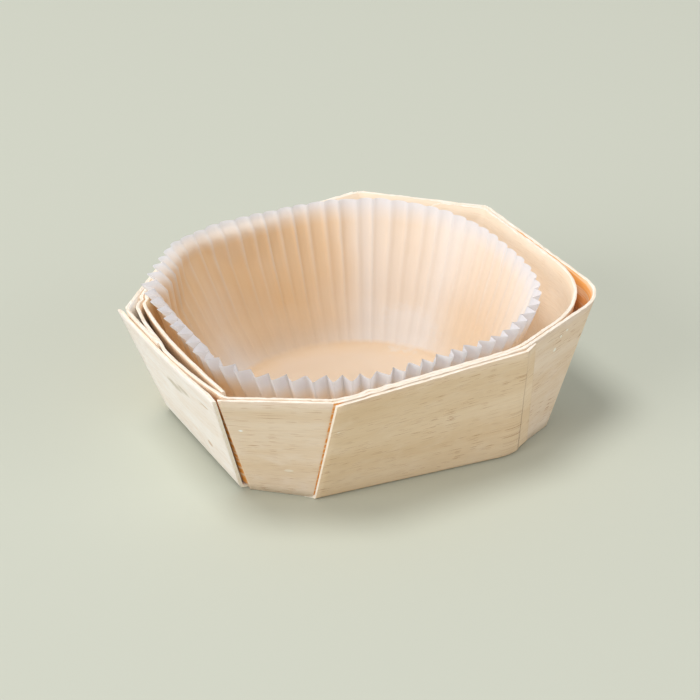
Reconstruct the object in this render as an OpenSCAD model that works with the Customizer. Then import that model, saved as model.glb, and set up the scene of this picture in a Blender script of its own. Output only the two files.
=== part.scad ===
// Eight-sided baking mould of folded wood veneer, with a pleated paper liner standing in it.
// The origin is the centre of the underside of the floor. The rim is up. Millimetres.

/* [Floor] */

// Width of the floor from the left fold to the right fold
floor_w = 83; // [80:0.5:86]

// Depth of the floor from the front fold to the back fold
floor_d = 76; // [75:0.5:78]

// Length of the front fold
front_fold = 53; // [52:0.5:54]

// Length of the back fold
back_fold = 54; // [52:0.5:56]

// Length of the left fold
left_fold = 45; // [43:0.5:47]

// Length of the right fold
right_fold = 54; // [51:0.5:55]

// How far the middle of each fold lies off the floor's middle line: front, right, back, left
fold_shift = [-1.8, -6.3, 0, -1.3]; // [-6.5:0.1:0.5]

/* [Walls] */

// Height of the rim above the table
rim_h = 35; // [32:0.5:38]

// Outward lean of the front wall, from its fold to the rim
lean_front = 10.6; // [10:0.2:12]

// Outward lean of the right wall
lean_right = 16.2; // [15:0.2:17]

// Outward lean of the back wall
lean_back = 9.6; // [9:0.2:11]

// Outward lean of the left wall
lean_left = 10.6; // [10:0.2:12]

// Length of the front wall along the rim
front_rim = 53.8; // [53:0.2:55]

// Length of the right wall along the rim
right_rim = 58.2; // [57:0.2:59]

// Length of the back wall along the rim
back_rim = 58.8; // [57.6:0.2:60]

// Length of the left wall along the rim
left_rim = 57.4; // [56.4:0.2:58.4]

// How far the middle of each rim side lies off the floor's middle line: front, right, back, left
rim_shift = [-2.6, -3.9, 1.2, -6.6]; // [-7:0.1:2]

// How far the right end of the front side lies in front of its middle, at the floor and at the rim
front_slant = [2.8, -0.8]; // [-1:0.1:3]

// How much the right wall is twisted: extra lean at its front end, less at its back end
right_twist = 0.4; // [0:0.1:0.6]

// How much the back wall is twisted: extra lean at its right end, less at its left end
back_twist = 2.8; // [2:0.2:3]

// How much the left wall is twisted: extra lean at its front end, less at its back end
left_twist = 1.6; // [1:0.1:1.8]

// How far the left wall bows outwards at its rim
left_bow = 1.8; // [1:0.1:2]

/* [Veneer] */

// Thickness of one ply of veneer
ply = 0.9; // [0.8:0.05:1]

// Air left between one ply and the next
ply_gap = 0.35; // [0.3:0.05:0.4]

// Outer radius of the folds between the floor and the walls
fold_r = 1.8; // [1.6:0.1:2.2]

// Bend radius of the wall bands at the floor
foot_r = 1.6; // [1.4:0.1:1.8]

// Bend radius of the wall bands at the corners of the rim
bend_r = 4; // [3:0.5:5]

// Bend radius of the outer band at the front right corner of the rim
soft_bend_r = 14; // [12:0.5:15]

// Bend radius of the outer band at the back left corner of the rim
wide_bend_r = 20; // [18:0.5:22]

// Bend radius of the inner band where it springs inwards behind the front right corner
spring_bend_r = 31; // [28:0.5:32]

/* [Flaps] */

// How far the rims of the flaps stay below the rims of the bands
flap_drop = 0.8; // [0.4:0.1:1.4]

// How far the back end of the left flap springs outwards at the rim
left_flare = 3.7; // [3:0.1:4]

// How far the tail of the outer band springs outwards behind the left flap
tail_flare = 1.2; // [0.8:0.1:1.3]

// Length of the folded tab at the right end of the front flap, at the rim
tab_l = 2.6; // [2:0.1:3.4]

// Width of the wedge between the left flap and the outer band, at the floor
wedge_w = 1.2; // [0.8:0.1:2]

// Where the tail of the outer band ends on the left wall, as a share of that wall from its back end
tail_share = 0.44; // [0.4:0.01:0.48]

/* [Paper liner] */

// Length of the liner's rim from left to right, over the outer folds, where the walls leave it room
liner_w = 99; // [95:0.5:101]

// Length of the liner's rim from front to back, over the outer folds, where the walls leave it room
liner_d = 92; // [88:0.5:94]

// Height of the liner's rim above the table
liner_h = 37.6; // [36.6:0.2:39]

// How much higher the liner's rim stands at the back, and lower at the front
liner_tilt = 0.7; // [0:0.1:1]

// Length of the liner's floor from left to right
liner_floor_w = 68; // [64:0.5:69]

// Length of the liner's floor from front to back
liner_floor_d = 62; // [58:0.5:63]

// How square the liner's rim is: 2 is an ellipse, and more is squarer
liner_square = 2.5; // [2:0.1:2.8]

// Least air between the liner and the walls round it
liner_gap = 0.5; // [0.4:0.05:0.8]

// Number of pleats round the liner
pleats = 66; // [56:1:70]

// Depth of a pleat at the rim, from its inner fold to its outer fold
pleat_rim = 3.8; // [3:0.1:4.2]

// Depth of a pleat at the floor
pleat_floor = 1.2; // [0.8:0.1:1.6]

// Thickness of the liner's wall across a pleat
liner_t = 0.45; // [0.4:0.05:0.6]

/* [Hidden] */

// Shares of a pleat at which its folds begin and end, and the side on which each of them lies
pleat_steps = [-0.09, 0.09, 0.41, 0.59];
pleat_sides = [1, 1, -1, -1];

// Levels of the liner's wall, from its floor to its rim, and how far out the wall is at each level
liner_levels = [0, 0.08, 0.3, 0.65, 0.925, 1];
liner_reach = [0, 0.13, 0.4, 0.71, 0.94, 1];

// Middle of the liner at its floor and at its rim
liner_floor_at = [0.3, -1.3];
liner_rim_at = [-2.5, -0.9];

// How far the liner's rim spreads over the wood, for each millimetre that it stands above it
liner_spill = 1;

// Shape exponent of an ellipse
round_shape = 2;

// Points in one rounded bend, strips along one straight wall and rows up a wall
bend_n = 4;
wall_n = 6;
row_n = 4;

// Distance over which a band's foot steps down beside a bend
foot_step = 1.6;

// Least height of a band's foot along the long walls, where it stands clear of the folds
foot_clear = 2 * ply + fold_r;

// How far the floor reaches past the outline of the walls
floor_lip = 0.2;

// Length of the folded tab at the foot of the front flap
tab_foot = 0.4;

// Shares of the left wall between which it bows outwards
bow_share = [0.06, 0.93];

// Shares of its side at which a flap begins: the left flap at the floor and at the rim, the right flap at
// its two ends, and the back flap at each end
left_flap_share = [0.02, 0.07];
right_flap_share = [0.96, 0.14];
back_flap_share = 0.03;

// Shares of the side at the floor and at the rim where the inner band and the lining strip begin and end
inner_first_share = [0.1, 0.04];
inner_last_share = [0.6, 0.5];
lining_first_share = [0.1, 0.1];
lining_last_share = [0.9, 0.94];

// How far the top of the inner band falls towards its two ends, which are cut aslant
end_drop = 2.2;

// Height of the top of the cross sheet, on which the liner stands
stand_z = 2 * ply;

// Inset of the outer faces of the outer band, the inner band and the lining strip from the walls' outline
inset_outer = 0;
inset_inner = ply + ply_gap;
inset_lining = 2 * inset_inner;

// Outset of a flap's outer face from the outline of the walls
outset_flap = ply + ply_gap;

// Corners of the outline at the table, counterclockwise from the front end of the left wall.
floor_pts = [
    [-floor_w / 2, fold_shift[3] - left_fold / 2],
    [fold_shift[0] - front_fold / 2, -floor_d / 2 + front_slant[0]],
    [fold_shift[0] + front_fold / 2, -floor_d / 2 - front_slant[0]],
    [floor_w / 2, fold_shift[1] - right_fold / 2],
    [floor_w / 2, fold_shift[1] + right_fold / 2],
    [fold_shift[2] + back_fold / 2, floor_d / 2],
    [fold_shift[2] - back_fold / 2, floor_d / 2],
    [-floor_w / 2, fold_shift[3] + left_fold / 2]
];

// The same corners at the rim.
rim_pts = [
    [-floor_w / 2 - lean_left - left_twist, rim_shift[3] - left_rim / 2],
    [rim_shift[0] - front_rim / 2, -floor_d / 2 - lean_front + front_slant[1]],
    [rim_shift[0] + front_rim / 2, -floor_d / 2 - lean_front - front_slant[1]],
    [floor_w / 2 + lean_right + right_twist, rim_shift[1] - right_rim / 2],
    [floor_w / 2 + lean_right - right_twist, rim_shift[1] + right_rim / 2],
    [rim_shift[2] + back_rim / 2, floor_d / 2 + lean_back + back_twist],
    [rim_shift[2] - back_rim / 2, floor_d / 2 + lean_back - back_twist],
    [-floor_w / 2 - lean_left + left_twist, rim_shift[3] + left_rim / 2]
];

// Sides of the outline, numbered by the corner at which each begins.
front_left = 0;
front = 1;
front_right = 2;
right = 3;
back_right = 4;
back = 5;
back_left = 6;
left = 7;

// Foot height of a band on each side: down on the floor at the corner sides, clear of the folds elsewhere.
foot_z = [for (i = [0:7]) i % 2 == 0 ? ply : foot_clear];

function unit(v) = v / norm(v);
function mix(a, b, t) = a + (b - a) * t;
function flat_cross(a, b) = a[0] * b[1] - a[1] * b[0];
function along(p, i) = unit(p[(i + 1) % 8] - p[i % 8]);
function inward(p, i) = [-along(p, i)[1], along(p, i)[0]];

// Point on side i of outline p, a share t along it and set in by d.
function on_side(p, i, d, t) = mix(p[i % 8], p[(i + 1) % 8], t) + inward(p, i) * d;

// Corner at which side i set in by a meets the next side set in by b.
function corner(p, i, a, b) =
    let (
        start_a = on_side(p, i, a, 0),
        start_b = on_side(p, i + 1, b, 0),
        run_a = along(p, i),
        run_b = along(p, i + 1),
        reach = flat_cross(start_b - start_a, run_b) / flat_cross(run_a, run_b)
    )
    start_a + run_a * reach;

// Rounded bend of radius r at v, between a and b, as n + 1 points.
function bend(a, v, b, r, n) =
    let (
        to_a = unit(a - v),
        to_b = unit(b - v),
        half = acos(to_a * to_b) / 2,
        centre = v + unit(to_a + to_b) * r / sin(half),
        spoke_a = unit(v + to_a * r / tan(half) - centre),
        spoke_b = unit(v + to_b * r / tan(half) - centre),
        sweep = 180 - 2 * half
    )
    [for (k = [0:n])
        centre + r * (spoke_a * sin(sweep * (1 - k / n)) + spoke_b * sin(sweep * k / n)) / sin(sweep)];

// How far the left wall's rim bows out at a share t of that wall.
function bow_at(t) =
    let (reach = bow_share[1] - bow_share[0])
    left_bow * max(0, 4 * (t - bow_share[0]) * (bow_share[1] - t)) / pow(reach, 2);

// Point q of the left side of outline p, moved out by the bow, and by the tail's own flare.
function bowed(p, q, tail) =
    let (
        t = (q - p[left]) * along(p, left) / norm(p[front_left] - p[left]),
        tail_t = max(0, t - bow_share[0]) / (tail_share - bow_share[0])
    )
    q - inward(p, left) * (bow_at(t) + tail * tail_t * tail_t);

// Plan path of a band's face along outline p: runs is a list of [side, inset], radii one radius per bend.
// With bow = 1 the left wall bows out, and tail is the flare of an end that lies there.
function band_path(p, runs, radii, first, last, extra, bow, tail) =
    let (
        count = len(runs),
        tips = [
            on_side(p, runs[0][0], runs[0][1] + extra, first),
            for (k = [0:count - 2]) corner(p, runs[k][0], runs[k][1] + extra, runs[k + 1][1] + extra),
            on_side(p, runs[count - 1][0], runs[count - 1][1] + extra, last)
        ],
        bends = [for (k = [1:count - 1]) bend(tips[k - 1], tips[k], tips[k + 1], radii[k - 1] - extra, bend_n)],
        groups = [
            [tips[0]],
            for (k = [0:count - 2])
                let (
                    back_step = unit(tips[k] - tips[k + 1]) * foot_step,
                    next_step = unit(tips[k + 2] - tips[k + 1]) * foot_step
                )
                [bends[k][0] + back_step, each bends[k], bends[k][bend_n] + next_step],
            [tips[count]]
        ],
        bows = [for (run = runs) bow * (run[0] % 8 == left ? 1 : 0)]
    )
    [for (k = [0:count]) each [
        each (k == count && bows[k - 1] == 1 ? [bowed(p, tips[count], tail)] : groups[k]),
        if (k < count)
            each [for (m = [1:wall_n - 1])
                let (q = mix(groups[k][len(groups[k]) - 1], groups[k + 1][0], m / wall_n))
                (bows[k] == 1 ? bowed(p, q, tail) : q)]
    ]];

// Foot height at each point of that path. In a bend the foot steps up where the flap beside it begins.
function band_feet(runs, feet) =
    let (count = len(runs), foot_of = [for (run = runs) feet[run[0] % 8]])
    [for (k = [0:count]) each [
        if (k == 0 || k == count) foot_of[min(k, count - 1)],
        if (k > 0 && k < count) each [
            foot_of[k - 1],
            foot_of[k - 1],
            for (m = [1:bend_n]) foot_clear,
            foot_of[k]
        ],
        if (k < count) each [for (m = [1:wall_n - 1]) foot_of[k]]
    ]];

// Point of a leaning wall at height z, from its plan places at the table and at the rim.
function wall_pt(low, high, z) =
    let (place = mix(low, high, z / rim_h))
    [place[0], place[1], z];

// Face of a band as columns of points, each column going from the foot to the rim. Its top falls by drop
// over the last two strips at each end.
function band_face(runs, radii, first, last, extra, drop, side_feet, tail) =
    let (
        foot_radii = [for (r = radii) foot_r],
        low = band_path(floor_pts, runs, foot_radii, first[0], last[0], extra, 0, 0),
        high = band_path(rim_pts, runs, radii, first[1], last[1], extra, 1, tail),
        feet = band_feet(runs, side_feet),
        count = len(low)
    )
    [for (k = [0:count - 1])
        let (top = rim_h - drop * max(0, 1 - min(k, count - 1 - k) / 2))
        [for (m = [0:row_n]) wall_pt(low[k], high[k], mix(feet[k], top, m / row_n))]];

// Closed sheet between two faces that are given as equal grids of points.
module sheet(outer, inner) {
    cols = len(outer);
    rows = len(outer[0]);
    shift = cols * rows;
    points = [for (c = outer) each c, for (c = inner) each c];
    faces = [
        for (c = [0:cols - 2]) for (r = [0:rows - 2])
            let (a = c * rows + r, b = a + 1, d = a + rows, e = d + 1)
            each [[a, b, e], [a, e, d], [shift + a, shift + e, shift + b], [shift + a, shift + d, shift + e]],
        for (c = [0:cols - 2])
            let (a = c * rows, d = a + rows, top = rows - 1)
            each [
                [a, d, shift + d], [a, shift + d, shift + a],
                [a + top, shift + a + top, shift + d + top], [a + top, shift + d + top, d + top]
            ],
        for (r = [0:rows - 2])
            let (last = (cols - 1) * rows)
            each [
                [r, shift + r, shift + r + 1], [r, shift + r + 1, r + 1],
                [last + r, last + r + 1, shift + last + r + 1], [last + r, shift + last + r + 1, shift + last + r]
            ]
    ];
    polyhedron(points, faces, convexity = 10);
}

module band(runs, radii, first, last, drop = 0, side_feet = foot_z, tail = 0) {
    sheet(
        band_face(runs, radii, first, last, 0, drop, side_feet, tail),
        band_face(runs, radii, first, last, ply, drop, side_feet, tail)
    );
}

// One column of a folded flap: from the rim at high, down the wall to low, round the fold and on to the floor.
function flap_column(low, high, top, base_z, into, r) =
    let (
        tip = wall_pt(low, high, top),
        crease = wall_pt(low, high, base_z),
        turn = bend(tip, crease, crease + [into[0], into[1], 0], r, bend_n)
    )
    [for (m = [0:row_n - 1]) mix(tip, turn[0], m / row_n), each turn];

function backwards(list) = [for (k = [len(list) - 1:-1:0]) list[k]];

// Face of the floor sheet at a distance d above its underside face.
function floor_sheet_face(d) =
    let (
        out = -outset_flap + d,
        r = fold_r - d,
        edge = -floor_lip,
        fold_tip = corner(rim_pts, front, out, out),
        fold_foot = corner(floor_pts, front, out, out),
        high_front = [
            for (k = [0:wall_n]) mix(on_side(rim_pts, front, out, 0), fold_tip, k / wall_n),
            fold_tip + along(rim_pts, front_right) * tab_l
        ],
        low_front = [
            for (k = [0:wall_n]) mix(on_side(floor_pts, front, out, 0), fold_foot, k / wall_n),
            fold_foot + along(floor_pts, front_right) * tab_foot
        ],
        back_shares = [
            for (k = [0:wall_n]) mix(1 - back_flap_share, back_flap_share, k / wall_n),
            back_flap_share / 2
        ],
        high_back = [for (t = back_shares) on_side(rim_pts, back, out, t)],
        low_back = [for (t = back_shares) on_side(floor_pts, back, out, t)],
        near_left = corner(floor_pts, left, edge, edge),
        near_right = corner(floor_pts, front_right, edge, edge),
        far_right = corner(floor_pts, right, edge, edge),
        far_left = corner(floor_pts, back_left, edge, edge),
        top = rim_h - flap_drop
    )
    [for (k = [0:wall_n + 1])
        let (t = min(k / wall_n, 1), past = k > wall_n ? [tab_foot, 0] : [0, 0])
        [
            each flap_column(low_front[k], high_front[k], top, d, [0, 1], r),
            let (p = mix(near_left, near_right, t) + past) [p[0], p[1], d],
            let (p = mix(far_left, far_right, t) + past) [p[0], p[1], d],
            each backwards(flap_column(low_back[k], high_back[k], top, d, [0, -1], r))
        ]];

module floor_sheet() {
    color("burlywood") sheet(floor_sheet_face(0), floor_sheet_face(ply));
}

// Face of the cross sheet at a distance d above its underside face.
function cross_sheet_face(d) =
    let (
        out = -outset_flap + d,
        r = fold_r - d,
        low_top = rim_h - 2 * flap_drop
    )
    [for (k = [0:wall_n])
        let (
            t = k / wall_n,
            rim_t = mix(left_flap_share[1], 1, t),
            flare = left_flare * pow(1 - t, 2) + bow_at(rim_t),
            low_left = on_side(floor_pts, left, out, mix(left_flap_share[0], 1, t)),
            high_left = on_side(rim_pts, left, out - flare, rim_t),
            low_right = on_side(floor_pts, right, out, mix(right_flap_share[0], right_flap_share[1], t)),
            high_right = on_side(rim_pts, right, out, mix(right_flap_share[0], right_flap_share[1], t))
        )
        [
            each flap_column(low_left, high_left, mix(low_top, rim_h, t), d + ply, [1, 0], r),
            each backwards(flap_column(low_right, high_right, low_top, d + ply, [-1, 0], r))
        ]];

module cross_sheet() {
    color("wheat") sheet(cross_sheet_face(0), cross_sheet_face(ply));
}

// Outer band: its cut end shows at the front left corner and its tail stops behind the left flap.
module outer_band() {
    runs = [for (i = [0:7]) [i, inset_outer]];
    radii = [bend_r, bend_r, soft_bend_r, bend_r, bend_r, wide_bend_r, bend_r];
    start = wedge_w / norm(floor_pts[front] - floor_pts[front_left]);
    color("tan") band(runs, radii, [start, 0], [tail_share, tail_share], tail = tail_flare);
}

// Inner band: begins on the back wall, runs round by the left and the front, and springs in at the front right.
module inner_band() {
    runs = [for (i = [5:12]) [i, inset_inner]];
    radii = [wide_bend_r - inset_inner, bend_r, bend_r, bend_r, bend_r, spring_bend_r, bend_r];
    color("navajowhite") band(runs, radii, inner_first_share, inner_last_share, drop = end_drop);
}

// Lining strip: the innermost ply along the back and the left.
module lining_strip() {
    runs = [for (i = [5:7]) [i, inset_lining]];
    radii = [wide_bend_r - inset_lining, bend_r];
    high_feet = [for (i = [0:7]) foot_clear];
    color("moccasin") band(runs, radii, lining_first_share, lining_last_share, side_feet = high_feet);
}

// Inset of the innermost face on each side: three plies along the back and the left, two elsewhere.
inner_faces = [for (i = [0:7]) (i >= back ? inset_lining : inset_inner) + ply];

// Way from place c, in the direction u, to the line through q with the inward direction n.
function way_to(c, u, q, n) = u * n < 0 ? (q - c) * n / (u * n) : floor_w;

// Room for the liner at height z, from place c in the direction u: up to the innermost faces of the walls,
// and to the middle of the wide bend at the back left.
function room(c, u, z) =
    let (
        share = min(z / rim_h, 1),
        p = mix(floor_pts, rim_pts, share),
        edge = inner_faces[back] + liner_gap,
        half = acos(along(p, back) * along(p, back_left)) / 2,
        tip = corner(p, back, edge, edge),
        into = unit(inward(p, back) + inward(p, back_left)),
        cut = tip + into * mix(foot_r, wide_bend_r - inset_lining, share) * (1 / cos(half) - 1)
    )
    min([
        for (i = [0:7]) way_to(c, u, on_side(p, i, inner_faces[i] + liner_gap, 0), inward(p, i)),
        way_to(c, u, cut, into)
    ]);

// Ring of the liner's wall at one level; d moves it in from the outer face.
function liner_ring(level, d) =
    let (
        reach = liner_reach[level],
        half_w = mix(liner_floor_w, liner_w, reach) / 2,
        half_d = mix(liner_floor_d, liner_d, reach) / 2,
        shape = mix(round_shape, liner_square, reach),
        depth = mix(pleat_floor, pleat_rim, reach),
        place = mix(liner_floor_at, liner_rim_at, reach)
    )
    [for (k = [0:pleats - 1]) for (m = [0:3])
        let (
            angle = 360 * (k + pleat_steps[m]) / pleats,
            u = [cos(angle), sin(angle)],
            z = mix(stand_z, liner_h + liner_tilt * u[1], liner_levels[level]) + (level == 0 ? d : 0),
            free = pow(pow(abs(u[0] / half_w), shape) + pow(abs(u[1] / half_d), shape), -1 / shape),
            held = room(place, u, z) + max(0, z - rim_h) * liner_spill,
            draw_in = depth * (1 - pleat_sides[m]) / 2 + d,
            q = place + u * (min(free, held) - draw_in)
        )
        [q[0], q[1], z]];

module paper_liner() {
    levels = len(liner_levels);
    ring = 4 * pleats;
    outside = [for (i = [0:levels - 1]) each liner_ring(i, 0)];
    inside = [for (i = [levels - 1:-1:0]) each liner_ring(i, liner_t)];
    hub = 2 * levels * ring;
    points = [
        each outside,
        each inside,
        [liner_floor_at[0], liner_floor_at[1], stand_z],
        [liner_floor_at[0], liner_floor_at[1], stand_z + liner_t]
    ];
    faces = [
        for (i = [0:2 * levels - 2]) for (k = [0:ring - 1])
            let (a = i * ring + k, b = i * ring + (k + 1) % ring)
            each [[a, a + ring, b + ring], [a, b + ring, b]],
        for (k = [0:ring - 1])
            let (a = k, b = (k + 1) % ring, c = (2 * levels - 1) * ring)
            each [[a, b, hub], [c + b, c + a, hub + 1]]
    ];
    color("white") polyhedron(points, faces, convexity = 10);
}

floor_sheet();
cross_sheet();
outer_band();
inner_band();
lining_strip();
paper_liner();
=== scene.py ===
import math
from functools import partial
import bpy
import numpy as np
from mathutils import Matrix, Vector


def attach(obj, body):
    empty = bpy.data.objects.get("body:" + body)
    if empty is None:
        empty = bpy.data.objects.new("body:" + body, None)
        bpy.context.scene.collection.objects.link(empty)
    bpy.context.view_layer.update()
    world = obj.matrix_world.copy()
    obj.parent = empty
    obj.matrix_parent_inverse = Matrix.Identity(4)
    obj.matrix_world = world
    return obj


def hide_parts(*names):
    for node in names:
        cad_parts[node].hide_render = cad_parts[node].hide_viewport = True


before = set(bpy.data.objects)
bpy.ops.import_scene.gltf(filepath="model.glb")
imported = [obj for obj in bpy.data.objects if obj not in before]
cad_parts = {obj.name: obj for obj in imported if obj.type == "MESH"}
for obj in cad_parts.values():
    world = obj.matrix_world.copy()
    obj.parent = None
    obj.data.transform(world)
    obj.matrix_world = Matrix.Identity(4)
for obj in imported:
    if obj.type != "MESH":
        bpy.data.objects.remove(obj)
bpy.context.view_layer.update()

# Sizes of the mould in millimetres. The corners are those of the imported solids, and run counterclockwise
# from the front end of the left wall. floorLip is how far the floor reaches past them: the walls hide its edge.
mould = {
    "floorCorners": [(-41.5, -23.8), (-28.3, -35.2), (24.7, -40.8), (41.5, -33.3),
                     (41.5, 20.7), (27, 38), (-27, 38), (-41.5, 21.2)],
    "rimCorners": [(-53.7, -35.3), (-29.5, -49.4), (24.3, -47.8), (58.1, -33),
                   (57.3, 25.2), (30.6, 50.4), (-28.2, 44.8), (-50.5, 22.1)],
    "rimHeight": 35.0,
    "ply": 0.9,
    "plyGap": 0.35,
    "foldRadius": 1.8,
    "floorLip": -1.0,
    "footRadius": 1.6,
    "footLow": 0.15,  # how high a strip's lower edge lies where it is in view
    "footClear": 3.6,  # and where a flap hides it, clear of the folds
    "bareShare": 0.13,  # part of the right wall, from its front end, that no flap covers
    "leftBow": 1.8, "bowFrom": 0.06, "bowTo": 0.93,
}
bendTag = 0.01  # a strip's bend k has the tags from k - bendTag to k + bendTag
frontLeft, front, frontRight, right, backRight, back, backLeft, left = range(8)
floorCorners = np.array(mould["floorCorners"], float)
rimCorners = np.array(mould["rimCorners"], float)


# small helpers

def linearColour(hexCode):
    # sRGB hex to linear RGBA
    parts = [int(hexCode[i:i + 2], 16) / 255 for i in (1, 3, 5)]
    return [c / 12.92 if c <= 0.04045 else ((c + 0.055) / 1.055) ** 2.4 for c in parts] + [1.0]


def addNode(tree, kind, inputs=None, output=0, **settings):
    # adds one node with its settings and links, and gives the output that is asked for
    node = tree.nodes.new(kind)
    for key, value in settings.items():
        setattr(node, key, value)
    for key, value in (inputs or {}).items():
        if isinstance(value, bpy.types.NodeSocket):
            tree.links.new(value, node.inputs[key])
        else:
            node.inputs[key].default_value = linearColour(value) if str(value).startswith("#") else value
    return node.outputs[output] if node.outputs else None


def unit(v):
    return v / np.linalg.norm(v)


def mix(a, b, t):
    return a + (b - a) * t


def smoothStep(a, b, x):
    t = np.clip((x - a) / (b - a), 0, 1)
    return t * t * (3 - 2 * t)


def waves(x, seed, count=5, longest=60.0):
    # smooth pseudo-random line of about -1 to 1, the same on every run
    rng = np.random.default_rng(seed)
    total = np.zeros_like(np.asarray(x, float))
    for k in range(count):
        size = longest / 1.9 ** k
        total = total + np.sin(2 * np.pi * np.asarray(x) / size + rng.uniform(0, 6.28)) * 0.62 ** k
    return total / 1.9


# outline of the walls

def along(corners, side):
    return unit(corners[(side + 1) % 8] - corners[side % 8])


def onSide(corners, side, inset, share):
    run = along(corners, side)
    place = mix(corners[side % 8], corners[(side + 1) % 8], share)
    return place + np.array([-run[1], run[0]]) * inset


def corner(corners, side, insetA, insetB):
    startA, startB = onSide(corners, side, insetA, 0), onSide(corners, side + 1, insetB, 0)
    runA, runB = along(corners, side), along(corners, side + 1)
    gap = startB - startA
    reach = (gap[0] * runB[1] - gap[1] * runB[0]) / (runA[0] * runB[1] - runA[1] * runB[0])
    return startA + runA * reach


def bend(a, v, b, radius, count):
    toA, toB = unit(a - v), unit(b - v)
    half = math.acos(float(np.clip(toA @ toB, -1, 1))) / 2
    centre = v + unit(toA + toB) * radius / math.sin(half)
    spokeA = unit(v + toA * radius / math.tan(half) - centre)
    spokeB = unit(v + toB * radius / math.tan(half) - centre)
    sweep = math.pi - 2 * half
    return [centre + radius * (spokeA * math.sin(sweep * (1 - k / count))
                               + spokeB * math.sin(sweep * k / count)) / math.sin(sweep)
            for k in range(count + 1)]


def wallPoint(low, high, z):
    place = mix(low, high, z / mould["rimHeight"])
    return np.array([place[0], place[1], z])


# meshes of veneer

def sheetObject(name, outer, inner, uLengths, vLengths, materials, shadeAndHighlightMarks=None, edgeSeed=1, rough=0.12):
    # outer and inner are grids of points in millimetres: columns along the grain, rows across it
    cols, rows = outer.shape[:2]
    rng = np.random.default_rng(edgeSeed)
    ring = 2 * rows + 2
    verts = np.zeros((cols, ring, 3))
    verts[:, :rows] = outer
    verts[:, rows] = (outer[:, -1] + inner[:, -1]) / 2
    verts[:, rows + 1:2 * rows + 1] = inner[:, ::-1]
    verts[:, 2 * rows + 1] = (outer[:, 0] + inner[:, 0]) / 2
    # the two long cut edges are fuzzy and slightly crowned
    longEdges = ((rows - 1, rows, rows + 1, rows - 2), (0, 2 * rows + 1, 2 * rows, 1))
    for rowA, rowMid, rowB, rowIn in longEdges:
        runOut = outer[:, rowA] - outer[:, rowIn]
        runOut = runOut / np.linalg.norm(runOut, axis=1)[:, None]
        for row, lift in ((rowA, -0.05), (rowMid, 0.05), (rowB, -0.05)):
            fuzz = rng.normal(0, 1, cols) * rough * 0.45
            fuzz = fuzz + waves(uLengths, edgeSeed + row, 5, 9.0) * rough * 0.5
            verts[:, row] += runOut * (lift + fuzz)[:, None]
    uvRow = np.concatenate([vLengths, [vLengths[-1] + 0.4], vLengths[::-1] + 0.8, [vLengths[0] - 0.4]])
    faces, uvs, slots = [], [], []

    def addFace(corners, slotIndex):
        faces.append([c * ring + k for c, k in corners])
        uvs.extend([(uLengths[c] / 100, uvRow[k] / 100) for c, k in corners])
        slots.append(slotIndex)

    for c in range(cols - 1):
        for k in range(ring):
            n = (k + 1) % ring
            isEdge = k in (rows - 1, rows, 2 * rows, 2 * rows + 1)
            isInner = rows < k < 2 * rows and len(materials) > 2
            addFace([(c, k), (c, n), (c + 1, n), (c + 1, k)], 1 if isEdge else 2 if isInner else 0)
    for c, flip in ((0, False), (cols - 1, True)):
        def inside(r):
            return 2 * rows - r
        for r in range(rows - 1):
            quad = [(c, r), (c, inside(r)), (c, inside(r + 1)), (c, r + 1)]
            addFace(quad[::-1] if flip else quad, 1)
        for tri in ([(c, rows - 1), (c, rows + 1), (c, rows)], [(c, 0), (c, 2 * rows + 1), (c, 2 * rows)]):
            addFace(tri[::-1] if flip else tri, 1)
    mesh = bpy.data.meshes.new(name)
    mesh.from_pydata((verts.reshape(-1, 3) / 1000).tolist(), [], faces)
    layer = mesh.uv_layers.new(name="grain")
    layer.data.foreach_set("uv", np.array(uvs, float).ravel())
    mesh.polygons.foreach_set("material_index", slots)
    mesh.polygons.foreach_set("use_smooth", [slot != 1 for slot in slots])
    # crease: per point, orange painted shade above 0 and pale painted highlight below 0
    mark = mesh.attributes.new("crease", "FLOAT", "POINT")
    values = np.zeros((cols, ring))
    if shadeAndHighlightMarks is not None:
        values[:, :rows] = shadeAndHighlightMarks[0]
        values[:, rows + 1:2 * rows + 1] = shadeAndHighlightMarks[1][:, ::-1]
    mark.data.foreach_set("value", values.ravel())
    mesh.update()
    piece = bpy.data.objects.new(name, mesh)
    bpy.context.scene.collection.objects.link(piece)
    for material in materials:
        piece.data.materials.append(material)
    return piece


def lengthsAlong(points):
    steps = np.linalg.norm(np.diff(points, axis=0), axis=1)
    return np.concatenate([[0], np.cumsum(steps)])


def bowAt(t):
    # how far the left wall's rim bows out at a share t of that wall
    span = mould["bowTo"] - mould["bowFrom"]
    return mould["leftBow"] * max(0, 4 * (t - mould["bowFrom"]) * (mould["bowTo"] - t)) / span ** 2


def leftShare(place):
    run = along(rimCorners, left)
    return float((place - rimCorners[left]) @ run) / np.linalg.norm(rimCorners[0] - rimCorners[left])


def springLeft(place, band, extra):
    # rim points of the left wall: the band's own table says how far each share of the wall stands out
    run = along(rimCorners, left)
    t = leftShare(place)
    shares, outs, thins = zip(*band["leftSpring"])
    out = bowAt(t) + float(np.interp(t, shares, outs)) - extra * float(np.interp(t, shares, thins))
    return place - np.array([-run[1], run[0]]) * out


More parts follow.
